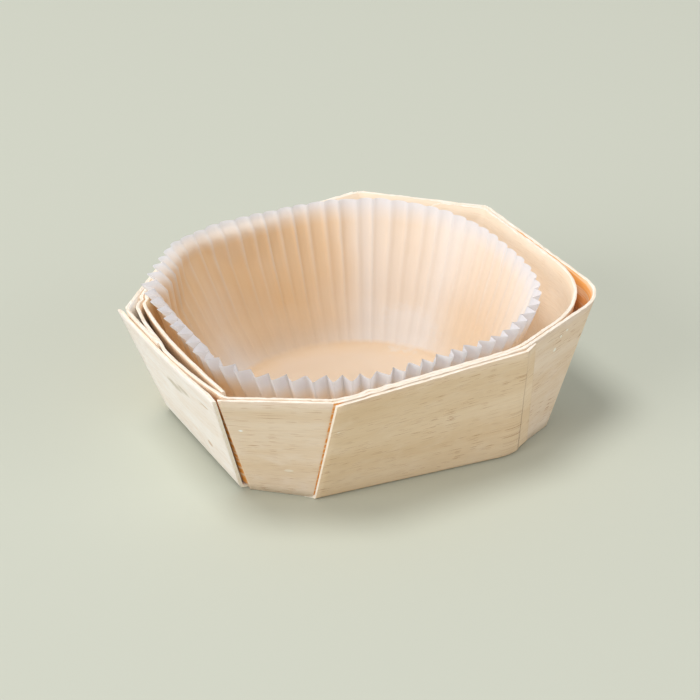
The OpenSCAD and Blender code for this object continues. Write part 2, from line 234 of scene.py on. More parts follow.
def bandPath(corners, runs, radii, first, last, extra, band, bendCount=10, spanCount=30):
    atRim = corners is rimCorners
    tips = [onSide(corners, runs[0][0], runs[0][1] + extra, first)]
    for (sideA, insetA), (_, insetB) in zip(runs, runs[1:]):
        tips.append(corner(corners, sideA, insetA + extra, insetB + extra))
    tips.append(onSide(corners, runs[-1][0], runs[-1][1] + extra, last))
    if atRim and "tailReach" in band:
        # the back left side runs straight on past its corner before it turns
        tips[-2] = tips[-2] + along(corners, backLeft) * band["tailReach"]
    groups = [[tips[0]]]
    for k in range(1, len(runs)):
        groups.append(bend(tips[k - 1], tips[k], tips[k + 1], radii[k - 1] - extra, bendCount))
    groups.append([tips[-1]])
    path, tags = [], []
    springs = [k for k, (side, _) in enumerate(runs) if side % 8 == left and atRim and "leftSpring" in band]
    for k, group in enumerate(groups):
        if len(group) == 1 and min(k, len(runs) - 1) in springs:
            group = [springLeft(group[0], band, extra)]
        path.extend(group)
        steps = max(1, len(group) - 1)
        tags.extend(k + (2 * j / steps - 1) * bendTag * (len(group) > 1) for j in range(len(group)))
        if k < len(groups) - 1:
            start = group[-1]
            if k in springs and "tailReach" in band:
                # back onto the wall's own line, so that the table alone sets how far it stands out
                run = along(corners, left)
                start = onSide(corners, left, runs[k][1] + extra, leftShare(start))
            for m in range(1, spanCount):
                place = mix(start, groups[k + 1][0], m / spanCount)
                path.append(springLeft(place, band, extra) if k in springs else place)
                tags.append(k + m / spanCount)
    return np.array(path), np.array(tags)


def bandObject(name, band, materials, rowCount=14):
    # close moves the strip inwards by so many millimetres, and its marks paint light and shade, from -1 (pale
    # painted highlight) to 1 (orange painted shade)
    faces = []
    for extra in (0, mould["ply"]):
        low, tags = bandPath(floorCorners, band["runs"], [mould["footRadius"]] * len(band["radii"]),
                             band["first"][0], band["last"][0], extra, band)
        high, _ = bandPath(rimCorners, band["runs"], band["radii"],
                           band["first"][1], band["last"][1], extra, band)
        grid = np.zeros((len(low), rowCount + 1, 3))
        for c in range(len(low)):
            tag = tags[c]
            side = band["runs"][min(int(tag), len(band["runs"]) - 1)][0] % 8
            # the foot stays down wherever no flap covers it
            inView = side % 2 == 0 or abs(tag - round(tag)) < 1.5 * bendTag
            inView = inView or (side == right and tag % 1 < mould["bareShare"])
            foot = mould["footLow"] if inView and band["lowFeet"] else mould["footClear"]
            top = mould["rimHeight"] + (band["top"](tag) if "top" in band else 0)
            for r in range(rowCount + 1):
                grid[c, r] = wallPoint(low[c], high[c], mix(foot, top, r / rowCount))
        faces.append(grid)
    outer, inner = faces
    ups = [r / rowCount for r in range(rowCount + 1)]
    depth = inner - outer
    depth = depth / np.linalg.norm(depth, axis=2)[..., None]
    if "close" in band:
        shift = np.array([[band["close"](tag, up) for up in ups] for tag in tags])
        outer = outer + depth * shift[..., None]
        inner = inner + depth * shift[..., None]
    marks = []
    for label in ("mark", "insideMark"):
        mark = band.get(label, lambda tag, up: 0.0)
        marks.append(np.array([[mark(tag, up) for up in ups] for tag in tags]))
    uLengths = lengthsAlong((outer[:, 0] + outer[:, -1]) / 2) + band["grainStart"]
    vLengths = np.linspace(0, mould["rimHeight"] * 1.04, rowCount + 1) + band["grainRow"]
    return sheetObject(name, outer, inner, uLengths, vLengths, materials, marks, band["seed"])


def flapColumn(low, high, top, baseZ, into, radius, rowCount=12, bendCount=6):
    tip, crease = wallPoint(low, high, top), wallPoint(low, high, baseZ)
    turn = bend(tip, crease, crease + np.array([into[0], into[1], 0.0]), radius, bendCount)
    return [mix(tip, turn[0], m / rowCount) for m in range(rowCount)] + turn


# finishes

def newTree(name):
    material = bpy.data.materials.new(name)
    material.use_nodes = True
    material.node_tree.nodes.clear()
    return material, material.node_tree


def layColours(tree, colour, layers):
    # colours one over another: each layer is how much of it shows, from 0 to 1, and its colour
    for amount, over in layers:
        colour = addNode(tree, "ShaderNodeMix", {"Factor": amount, "A": colour, "B": over}, "Result",
                         data_type="RGBA")
    return colour


def grainNoise(tree, alongMm, acrossMm, detail, seed, roughness=0.55):
    # the grain map is in tenths of a metre, so a scale of 100 gives millimetres
    grain = addNode(tree, "ShaderNodeUVMap", output="UV", uv_map="grain")
    place = addNode(tree, "ShaderNodeMapping", {"Vector": grain, "Scale": (100 / alongMm, 100 / acrossMm, 1),
                                                "Location": (seed * 3.7, seed * 1.3, seed)})
    return addNode(tree, "ShaderNodeTexNoise", {"Vector": place, "Scale": 1.0, "Detail": detail,
                                                "Roughness": roughness}, "Fac")


def spot(tree, centre, radii, raggedness=0.3):
    # soft-edged mark round a place on the mould, in millimetres
    add = partial(addNode, tree)
    place = add("ShaderNodeTexCoord", output="Object")
    ragged = add("ShaderNodeTexNoise", {"Vector": place, "Scale": 700.0, "Detail": 3.0}, "Color")
    ragged = add("ShaderNodeVectorMath", {0: ragged, 1: (0.5, 0.5, 0.5)}, operation="SUBTRACT")
    ragged = add("ShaderNodeVectorMath", {0: ragged, "Scale": raggedness * 2}, operation="SCALE")
    local = add("ShaderNodeMapping", {"Vector": place, "Scale": tuple(1000 / r for r in radii),
                                      "Location": tuple(-c / r for c, r in zip(centre, radii))})
    local = add("ShaderNodeVectorMath", {0: local, 1: ragged}, operation="ADD")
    length = add("ShaderNodeVectorMath", {0: local}, "Value", operation="LENGTH")
    return add("ShaderNodeMapRange", {"Value": length, "From Min": 1.0, "From Max": 0.6})


def poplarFace(name, look):
    # rotary-cut poplar: pale pinkish tan, silky along the fibre, with short tan vessel dashes along the grain
    material, tree = newTree(name)
    add = partial(addNode, tree)
    seed = look["seed"]
    layers = []
    # broad bands, fine streaks and pale clouds: the noise, where it starts to show, where it shows in full
    for noise, start, full, most, over in (
            (grainNoise(tree, 70, 9, 3, seed), 0.36, 0.64, 1.0, look["dark"]),
            (grainNoise(tree, 24, 1.0, 4, seed + 5), 0.42, 0.68, look["streaks"], look["streak"]),
            (grainNoise(tree, 9, 5, 3, seed + 31), 0.5, 0.75, look["clouds"], look["cloud"])):
        amount = add("ShaderNodeMapRange", {"Value": noise, "From Min": start, "From Max": full,
                                            "To Max": most})
        layers.append((amount, over))
    # real vessel lines are 0.1 mm wide; these are drawn wider so that the picture can hold them
    dash = add("ShaderNodeMapRange", {"Value": grainNoise(tree, 4.8, 0.2, 0.0, seed + 14, 0.3),
                                      "From Min": 0.7, "From Max": 0.735})
    patch = add("ShaderNodeMapRange", {"Value": grainNoise(tree, 26, 8, 2, seed + 21), "From Min": 0.42,
                                       "From Max": 0.6, "To Min": 0.2, "To Max": look["dashes"]})
    dashAmount = add("ShaderNodeMath", {0: dash, 1: patch}, operation="MULTIPLY")
    layers.append((dashAmount, look["dash"]))
    for centre, radii, strength, over in look["spots"]:
        amount = add("ShaderNodeMath", {0: spot(tree, centre, radii), 1: strength}, operation="MULTIPLY")
        layers.append((amount, over))
    # the mesh's crease values paint light and shade: above 0 orange painted shade in gaps, folds and the scored
    # line, broken along the grain; below 0 a pale painted highlight
    crease = add("ShaderNodeAttribute", output="Fac", attribute_name="crease")
    broken = add("ShaderNodeMapRange", {"Value": grainNoise(tree, 30, 1.4, 2, seed + 41),
                                        "From Min": 0.42, "From Max": 0.52, "To Min": 0.3})
    above = add("ShaderNodeMapRange", {"Value": crease})
    below = add("ShaderNodeMapRange", {"Value": crease, "From Max": -1.0})
    layers.append((add("ShaderNodeMath", {0: above, 1: broken}, operation="MULTIPLY"), look["paintedGapShade"]))
    layers.append((below, look["paintedHighlight"]))
    colour = layColours(tree, look["light"], layers)
    fibre = grainNoise(tree, 3.0, 0.22, 3, seed + 9, 0.65)
    level = add("ShaderNodeMapRange", {"Value": fibre, "From Min": 0.3, "From Max": 0.7,
                                       "To Min": 0.955, "To Max": 1.035})
    colour = add("ShaderNodeVectorMath", {0: colour, "Scale": level}, operation="SCALE")
    height = add("ShaderNodeMath", {0: fibre, 1: dashAmount}, operation="SUBTRACT")
    bump = add("ShaderNodeBump", {"Height": height, "Strength": 0.3, "Distance": 0.0001})
    shader = add("ShaderNodeBsdfPrincipled", {"Base Color": colour, "Normal": bump, "Roughness": 0.72,
                                              "IOR": 1.45, "Specular IOR Level": 0.3})
    add("ShaderNodeOutputMaterial", {"Surface": shader})
    return material


def poplarCut(name, look):
    # sawn and snapped edges: paler and woolly, because the torn fibres scatter the light
    material, tree = newTree(name)
    add = partial(addNode, tree)
    fuzz = grainNoise(tree, 3.5, 0.35, 4, 2)
    chips = grainNoise(tree, 1.6, 0.8, 2, 7)
    light = add("ShaderNodeMapRange", {"Value": fuzz, "From Min": 0.38, "From Max": 0.62})
    chipped = add("ShaderNodeMapRange", {"Value": chips, "From Min": 0.62, "From Max": 0.7, "To Max": 0.3})
    colour = layColours(tree, look["low"], [(light, look["high"]), (chipped, look["chip"])])
    bump = add("ShaderNodeBump", {"Height": fuzz, "Strength": 0.6, "Distance": 0.0002})
    shader = add("ShaderNodeBsdfPrincipled", {"Base Color": colour, "Normal": bump, "Roughness": 0.85,
                                              "IOR": 1.45, "Specular IOR Level": 0.2})
    add("ShaderNodeOutputMaterial", {"Surface": shader})
    return material


veneerLook = {
    "light": "#F4E2CE", "dark": "#EBD3B7", "streak": "#DFC09A", "streaks": 0.14,
    "cloud": "#F6E6D8", "clouds": 0.5, "dash": "#B27B45", "dashes": 0.75,
    # seam: orange painted shade for gaps and folds; bleached: pale painted highlight
    "paintedGapShade": "#F2A54A", "paintedHighlight": "#FFFDF8", "seed": 1,
    # small lifted flecks of pale fibre on the front corners: centre, radii, strength and colour
    "spots": [((-46.8, -33.3, 23.9), (0.7, 0.7, 0.45), 0.9, "#FFFFFF"),
              ((-28.1, -38.5, 8.9), (0.9, 0.9, 0.8), 0.9, "#FFFBF2"),
              ((-34.6, -34.4, 9.4), (1.4, 1.4, 0.6), 0.45, "#FFFBF2"),
              ((-27, -45.9, 24.7), (0.9, 0.9, 0.4), 0.8, "#FFFBF2"),
              ((37.9, -40.3, 27.2), (0.7, 0.7, 0.7), 0.9, "#FFFBF2"),
              ((39.7, -40.2, 30.5), (0.5, 0.5, 0.5), 0.9, "#FFFBF2"),
              ((42.1, -39.3, 31.3), (0.5, 0.5, 0.5), 0.8, "#FFFBF2")],
}
# a warmer, slightly darker copy of the face veneer for the front flap: painted warm shade on the front wall
warmShadedLook = dict(veneerLook, light="#F3DDC0", dark="#E9CEAB", streak="#DDBB8F", cloud="#F4E0C8", seed=2)
# a lighter copy of the veneer for the inner faces, painting in the light that falls into the mould, with few
# dashes and no flecks
insideLitLook = dict(veneerLook, light="#FBEBD6", dark="#F6E0C5", streak="#ECD2AF", cloud="#FCEFE0",
                  dashes=0.1, seed=6, spots=[])
# a darker, peachier copy of the inside veneer for the innermost ply at the back and left: painted shade
liningShadedLook = dict(insideLitLook, light="#F3D8B0", dark="#EDCDA1", streak="#E3BF8D", cloud="#F5DDBB")
# stains on the left flap
paleSpots = [((-51.4, -5.5, 23.6), (2.5, 5.2, 1.5), 0.55, "#B9AE96"),
             ((-51.6, -11.5, 25.2), (2.5, 4.2, 1.2), 0.5, "#B9AE96"),
             ((-45.9, -13.4, 9.1), (2.0, 1.6, 1.1), 0.6, "#C49A6C"),
             ((-52.1, -25.1, 27.9), (2.0, 2.4, 0.5), 0.6, "#C9A67C")]
paleLook = dict(veneerLook, light="#FDF8F5", dark="#F8EEE6", streak="#F0DECA", streaks=0.35,
                cloud="#FFFDFC", clouds=0.6, dash="#C79C68", dashes=0.4, seed=4, spots=paleSpots)
veneerFace = poplarFace("poplarVeneerFace", veneerLook)
veneerWarmShaded = poplarFace("poplarVeneerWarmShaded", warmShadedLook)
veneerInsideLit = poplarFace("poplarVeneerInsideLit", insideLitLook)
veneerLiningShaded = poplarFace("poplarVeneerLiningShaded", liningShadedLook)
veneerPale = poplarFace("poplarVeneerPale", paleLook)
veneerEdge = poplarCut("poplarCutEdge", {"low": "#F6E8D3", "high": "#FFF8EE", "chip": "#E6C497"})
print("finishes made")


# bands

insetStep = mould["ply"] + mould["plyGap"]


def window(tag, low, high, soft):
    return float(smoothStep(low - soft, low + soft, tag) * (1 - smoothStep(high - soft, high + soft, tag)))


def pressed(tag, up, low, high, amount):
    # plies pressed together along the front rim, but for two short slits
    slits = window(tag, low + 0.14, low + 0.18, 0.02) + window(tag, low + 0.25, low + 0.27, 0.015)
    return -amount * up ** 3 * window(tag, low + 0.02, high, 0.04) * (1 - slits)


# A strip runs over sides of the mould, each with its distance inside the outline, and its tags count them.
# leftSpring: share of the left wall from its back end, how far the rim stands out there, thickness share
outerBand = {
    "runs": [(side, 0.0) for side in range(8)],
    "radii": [4, 4, 14, 4, 4, 20, 1.6],
    "first": (1.2 / 17.44, 0), "last": (0.44, 0.44), "tailReach": 6.0,
    "leftSpring": [(0.06, 4.15, 0), (0.25, 2.57, 0), (0.45, 1.3, 0.55)],
    "close": lambda tag, up: pressed(tag, up, 1.0, 1.96, 0.33),
    # mark: orange painted shadow in the gap beside the front flap's cut edge; insideMark: orange painted shade
    # in the cavity at the right corner, rising with height, and a pale painted highlight on the inside of the
    # ply end that springs out at the left
    "mark": lambda tag, up: window(tag, 0.997, 1.02, 0.001),
    "insideMark": lambda tag, up: 0.95 * window(tag, 2.8, 3.7, 0.1) * up - window(tag, 6.8, 8.2, 0.1),
    "lowFeet": True, "grainStart": 0, "grainRow": 0, "seed": 11,
}
innerBand = {
    "runs": [(side, insetStep) for side in range(5, 13)],
    "radii": [20 - insetStep, 4, 4, 4, 4, 31, 4],
    "first": (0.1, 0.04), "last": (0.6, 0.5),
    "leftSpring": [(0, 0, 0), (0.09, 2.3, 0), (0.23, 2.5, 0), (0.36, 2.15, 0), (0.44, 2.0, 0), (0.5, 2.5, 0),
                   (0.6, 2.1, 0), (0.8, 1.1, 0), (0.97, 0, 0)],
    "top": lambda tag: -2.2 * float(np.clip((tag - 7.67) / 0.33, 0, 1) + np.clip((0.08 - tag) / 0.08, 0, 1)),
    "close": lambda tag, up: pressed(tag, up, 4.0, 4.96, 0.66) - 0.95 * (
        window(tag, 2.97, 3.2, 0.02) * window(up, 0, 0.9, 0.05)),
    # mark: orange painted shade in the wedge-shaped gap at the front left corner, and near the strip's start;
    # insideMark: two thin lines of orange painted shade along the edges of the front right fold
    "mark": lambda tag, up: window(tag, 2.93, 3.25, 0.05) * window(up, 0, 0.93, 0.04) + 0.6 * (
        window(tag, -0.2, 0.15, 0.05) + window(tag, 7.9, 8.3, 0.05)),
    "insideMark": lambda tag, up: 0.3 * (
        window(tag, 4.9905, 4.9925, 0.001) + window(tag, 5.0075, 5.0095, 0.001)),
    "lowFeet": True, "grainStart": 400, "grainRow": 60, "seed": 23,
}
liningStrip = {
    "runs": [(side, 2 * insetStep) for side in range(5, 8)],
    "radii": [20 - 2 * insetStep, 4],
    "first": (0.1, 0.1), "last": (0.9, 0.94),
    "leftSpring": [(0, 0, 0), (0.08, 1.6, 0), (0.2, 1.4, 0), (0.375, 0.95, 0), (0.575, 0.3, 0), (0.7, 0, 0)],
    "lowFeet": False, "grainStart": 800, "grainRow": 120, "seed": 37,
}
outerPiece = bandObject("outerBandVeneer", outerBand, [veneerFace, veneerEdge, veneerInsideLit])
innerPiece = bandObject("innerBandVeneer", innerBand, [veneerFace, veneerEdge, veneerInsideLit])
liningPiece = bandObject("liningVeneer", liningStrip, [veneerFace, veneerEdge, veneerLiningShaded])
print("bands made")


# folded sheets

floorSheet = {"flapDrop": 0.4, "tabRim": 4.2, "tabFoot": 8.3, "score": (0.3, 2.1), "footBend": 12.0,
              "rimBend": 1.5, "tabPress": 0.7, "backInset": 0.03, "columns": 28, "seed": 51}
crossSheet = {"leftFlare": 4.4, "leftShare": (0.02, 0.035), "rightShare": (0.96, 0.14), "drop": 1.6,
              "columns": 28, "seed": 67}


def floorSheetFace(depth):
    out, radius = -insetStep + depth, mould["foldRadius"] - depth
    top = mould["rimHeight"] - floorSheet["flapDrop"]
    shares = np.linspace(0, 1, floorSheet["columns"] + 1)
    paths = []
    for corners, tab, scored, tipRadius in (
            (floorCorners, floorSheet["tabFoot"], floorSheet["score"][1], floorSheet["footBend"]),
            (rimCorners, floorSheet["tabRim"], floorSheet["score"][0], floorSheet["rimBend"])):
        start, tip = onSide(corners, front, out, 0), corner(corners, front, out, out)
        end = tip + along(corners, frontRight) * tab
        turn = bend(start, tip, end, tipRadius, 6)
        run = along(corners, frontRight)
        press = np.array([-run[1], run[0]]) * floorSheet["tabPress"]
        reaches = [scored - 0.2, scored, scored + 0.2] + [share * tab for share in (0.5, 0.75, 0.97, 1)]
        # the tab lies flatter on the wall towards its own end
        stops = [tip + run * reach + press * min(1, reach / tab / 0.9) for reach in reaches]
        paths.append([mix(start, turn[0], t) for t in shares[:-1]] + turn + stops)
    columns = list(zip(*paths))
    count = len(columns) - 1
    inset = floorSheet["backInset"]
    edge = -mould["floorLip"]
    nearLeft, nearRight = corner(floorCorners, left, edge, edge), corner(floorCorners, frontRight, edge, edge)
    farRight, farLeft = corner(floorCorners, right, edge, edge), corner(floorCorners, backLeft, edge, edge)
    grid = []
    for k, (low, high) in enumerate(columns):
        t = k / count
        near, far = mix(nearLeft, nearRight, t), mix(farLeft, farRight, t)
        backShare = mix(1 - inset, inset, t)
        lowBack = onSide(floorCorners, back, out, backShare)
        highBack = onSide(rimCorners, back, out, backShare)
        grid.append(flapColumn(low, high, top, depth, (0, 1), radius)
                    + [np.array([*mix(near, far, s), depth]) for s in np.linspace(0, 1, 9)]
                    + flapColumn(lowBack, highBack, top, depth, (0, -1), radius)[::-1])
    return np.array(grid)


def floorSheetMarks(cols, rows):
    # the scored line beside the tab gets short dashes of orange painted shade
    marks = np.zeros((cols, rows))
    rng = np.random.default_rng(8)
    marks[cols - 6, :14] = rng.choice([0.3, 0.8, 1.0], 14)
    return marks


def crossSheetFace(depth):
    out, radius = -insetStep + depth, mould["foldRadius"] - depth
    lowTop = mould["rimHeight"] - crossSheet["drop"]
    grid = []
    for t in np.linspace(0, 1, crossSheet["columns"] + 1):
        rimShare = mix(crossSheet["leftShare"][1], 1, t)
        flare = crossSheet["leftFlare"] * (1 - t) ** 2.3 + bowAt(rimShare)
        lowLeft = onSide(floorCorners, left, out, mix(crossSheet["leftShare"][0], 1, t))
        highLeft = onSide(rimCorners, left, out - flare, rimShare)
        rightShare = mix(*crossSheet["rightShare"], t)
        lowRight = onSide(floorCorners, right, out, rightShare)
        highRight = onSide(rimCorners, right, out, rightShare)
        leftTop, level = mix(lowTop, mould["rimHeight"], t), depth + mould["ply"]
        leftSide = flapColumn(lowLeft, highLeft, leftTop, level, (1, 0), radius)
        rightSide = flapColumn(lowRight, highRight, lowTop, level, (-1, 0), radius)
        across = [mix(leftSide[-1], rightSide[-1], s) for s in np.linspace(0, 1, 12)[1:-1]]
        grid.append(leftSide + across + rightSide[::-1])
    return np.array(grid)


def foldedObject(name, face, settings, materials, grainStart, grainRow, shadeAndHighlightMarks=None):
    outer, inner = face(0.0), face(mould["ply"])
    uLengths = lengthsAlong(outer[:, 0]) + grainStart
    vLengths = lengthsAlong(outer[len(outer) // 2]) + grainRow
    marks = [shadeAndHighlightMarks(*outer.shape[:2])] * 2 if shadeAndHighlightMarks else None
    return sheetObject(name, outer, inner, uLengths, vLengths, materials, marks, settings["seed"])


floorPiece = foldedObject("floorSheetVeneer", floorSheetFace, floorSheet, [veneerWarmShaded, veneerEdge], 1200, 200,
                          floorSheetMarks)
crossPiece = foldedObject("crossSheetVeneer", crossSheetFace, crossSheet, [veneerPale, veneerEdge], 1500, 420)
print("folded sheets made")


# paper liner

liner = {
    "pleats": 66, "stepsPerPleat": 8, "floorRings": 10, "wallRings": 34,
    "rimWidth": 99.0, "rimDepth": 92.0, "floorWidth": 68.0, "floorDepth": 62.0,
    "pleatRim": 3.8, "pleatFloor": 1.2, "height": 37.6, "tilt": 0.7, "standHeight": 2.0,
    "floorMiddle": (0.3, -1.3), "rimMiddle": (-2.5, -0.9), "square": 2.5, "gap": 0.5, "spill": 1.0,
    # its wall as a curve: share of the height, and share of the way from the floor's outline to the rim's
    "levels": [0, 0.08, 0.3, 0.65, 0.925, 1], "reaches": [0, 0.13, 0.4, 0.71, 0.94, 1],
    # the stretch pressed flat, in shares of the ring, and what is left of the pleats there
    "flatSide": 0.145, "flatWidth": 0.28, "flatDepth": 0.28, "frontRound": 0.7,
    "unevenness": 0.6, "rimWave": 2.0, "crumple": 0.6, "seed": 5.0,
    # the painted glow of the wood through the paper fades over glowGap millimetres between paper and wood
    "glowGap": 14.0, "paper": "#FCF8F5", "rimPaper": "#F3F5FC", "paintedWoodGlow": "#F8DAB0",
    "glow": 0.22, "sheer": 0.07,
}
innerFaces = [insetStep + mould["ply"] + (insetStep if side >= back else 0) for side in range(8)]


def linerRoom(centre, u, z):
    # way from the centre to the nearest inner face, and to the middle of the wide bend at the back left
    share = min(z / mould["rimHeight"], 1)
    corners = mix(floorCorners, rimCorners, share)
    ways = []

    def addWay(place, normal):
        if u @ normal < 0:
            ways.append(float((place - centre) @ normal / (u @ normal)))

    def inward(side):
        run = along(corners, side)
        return np.array([-run[1], run[0]])

    for side in range(8):
        addWay(onSide(corners, side, innerFaces[side] + liner["gap"], 0), inward(side))
    edge = innerFaces[back] + liner["gap"]
    half = math.acos(float(along(corners, back) @ along(corners, backLeft))) / 2
    into = unit(inward(back) + inward(backLeft))
    radius = mix(mould["footRadius"], 20 - 2 * insetStep, share)
    addWay(corner(corners, back, edge, edge) + into * radius * (1 / math.cos(half) - 1), into)
    return min(ways)


def linerSkin(name):
    # smooth liner without pleats, in metres, with its share round and up, and its outward direction
    cols = liner["pleats"] * liner["stepsPerPleat"]
    floorRings, wallRings = liner["floorRings"], liner["wallRings"]
    verts, rounds, ups, outs, woods = [], [], [], [], []
    floorMiddle, rimMiddle = np.array(liner["floorMiddle"]), np.array(liner["rimMiddle"])
    for ring in range(floorRings + wallRings):
        rise = max(0, ring - floorRings + 1) / wallRings
        inside = min(1, (ring + 1) / floorRings)
        reach = float(np.interp(rise, liner["levels"], liner["reaches"]))
        centre = mix(floorMiddle, rimMiddle, reach)
        halfWidth = mix(liner["floorWidth"], liner["rimWidth"], reach) / 2
        halfDepth = mix(liner["floorDepth"], liner["rimDepth"], reach) / 2
        shape = mix(2, liner["square"], reach)
        for c in range(cols):
            angle = 2 * math.pi * c / cols
            u = np.array([math.cos(angle), math.sin(angle)])
            z = mix(liner["standHeight"], liner["height"] + liner["tilt"] * u[1], rise)
            free = (abs(u[0] / halfWidth) ** shape + abs(u[1] / halfDepth) ** shape) ** (-1 / shape)
            held = linerRoom(centre, u, z) + max(0, z - mould["rimHeight"]) * liner["spill"]
            place = centre + u * min(free, held) * inside
            verts.append((place[0] / 1000, place[1] / 1000, z / 1000))
            rounds.append(c / cols)
            ups.append(rise if rise > 0 else inside - 1)
            outs.append((u[0], u[1], 0.0))
            # wood: how much painted glow of the wood shows through the paper, less where the paper stands away
            # from it
            gap = held - min(free, held)
            woods.append(1 - float(smoothStep(0, liner["glowGap"], gap)) if rise > 0 else 1.0)
    faces = []
    for ring in range(floorRings + wallRings - 1):
        for c in range(cols):
            d = (c + 1) % cols
            a, b = ring * cols, (ring + 1) * cols
            faces.append((a + c, a + d, b + d, b + c))
    verts.append((floorMiddle[0] / 1000, floorMiddle[1] / 1000, liner["standHeight"] / 1000))
    rounds.append(0)
    ups.append(-1)
    outs.append((1, 0, 0))
    woods.append(1)
    faces.extend((len(verts) - 1, (c + 1) % cols, c) for c in range(cols))
    mesh = bpy.data.meshes.new(name)
    mesh.from_pydata(verts, [], faces)
    for label, values in (("round", rounds), ("up", ups), ("wood", woods)):
        mesh.attributes.new(label, "FLOAT", "POINT").data.foreach_set("value", values)
    outward = mesh.attributes.new("outward", "FLOAT_VECTOR", "POINT")
    outward.data.foreach_set("vector", np.array(outs, float).ravel())
    return mesh


def greaseproofPaper(name):
    # thin baking paper: milky white, with a painted peach glow of the wood where that lies close behind it,
    # and paler along its folds, where less of that painted glow is laid on
    material, tree = newTree(name)
    add = partial(addNode, tree)
    place = add("ShaderNodeTexCoord", output="Object")
    around, up, wood, fold = [add("ShaderNodeAttribute", output="Fac", attribute_name=label)
                              for label in ("round", "up", "wood", "fold")]
    # the milky zone below the rim is wider at the front than at the back
    away = add("ShaderNodeMath", {0: around, 1: liner["frontRound"]}, operation="SUBTRACT")
    away = add("ShaderNodeMath", {0: away}, operation="ABSOLUTE")
    wider = add("ShaderNodeMapRange", {"Value": away, "From Min": 0.15, "From Max": 0.3,
                                       "To Min": -0.09, "To Max": 0.0})
    higher = add("ShaderNodeMath", {0: up, 1: wider}, operation="SUBTRACT")
    cloud = add("ShaderNodeTexNoise", {"Vector": place, "Scale": 90.0, "Detail": 4.0}, "Fac")
    lifted = spot(tree, (27, 18, 7.5), (10.0, 10.0, 6.5), 0.35)
    # what weakens the painted glow of the wood: the rim, the floor, clouds, the place lifted off the wood, and
    # folds
    for cause, low, high, atLow, atHigh in ((higher, 0.84, 0.99, 1.0, 0.0), (up, -0.2, 0.2, 0.6, 1.0),
                                            (cloud, 0.3, 0.7, 0.88, 1.06), (lifted, 0.0, 1.0, 1.0, 0.3),
                                            (fold, 0.1, 1.0, 1.0, 0.4)):
        share = add("ShaderNodeMapRange", {"Value": cause, "From Min": low, "From Max": high,
                                           "To Min": atLow, "To Max": atHigh})
        wood = add("ShaderNodeMath", {0: wood, 1: share}, operation="MULTIPLY")
    rim = add("ShaderNodeMapRange", {"Value": higher, "From Min": 0.86, "From Max": 1.02})
    # paper white, whiter at the rim, with the painted peach glow of the wood laid over it
    colour = layColours(tree, liner["paper"], [(rim, liner["rimPaper"]), (wood, liner["paintedWoodGlow"])])
    fine = add("ShaderNodeTexNoise", {"Vector": place, "Scale": 900.0, "Detail": 3.0}, "Fac")
    bump = add("ShaderNodeBump", {"Height": fine, "Strength": 0.15, "Distance": 0.0001})
    facing = add("ShaderNodeBsdfPrincipled", {"Base Color": colour, "Normal": bump, "Roughness": 0.55,
                                              "IOR": 1.45, "Specular IOR Level": 0.3})
    through = add("ShaderNodeBsdfTranslucent", {"Color": colour})
    clear = add("ShaderNodeBsdfTransparent", {"Color": (1, 1, 1, 1)})
    milky = add("ShaderNodeMixShader", {"Fac": liner["glow"], 1: facing, 2: through})
    sheer = add("ShaderNodeMixShader", {"Fac": liner["sheer"], 1: milky, 2: clear})
    add("ShaderNodeOutputMaterial", {"Surface": sheer})
    return material


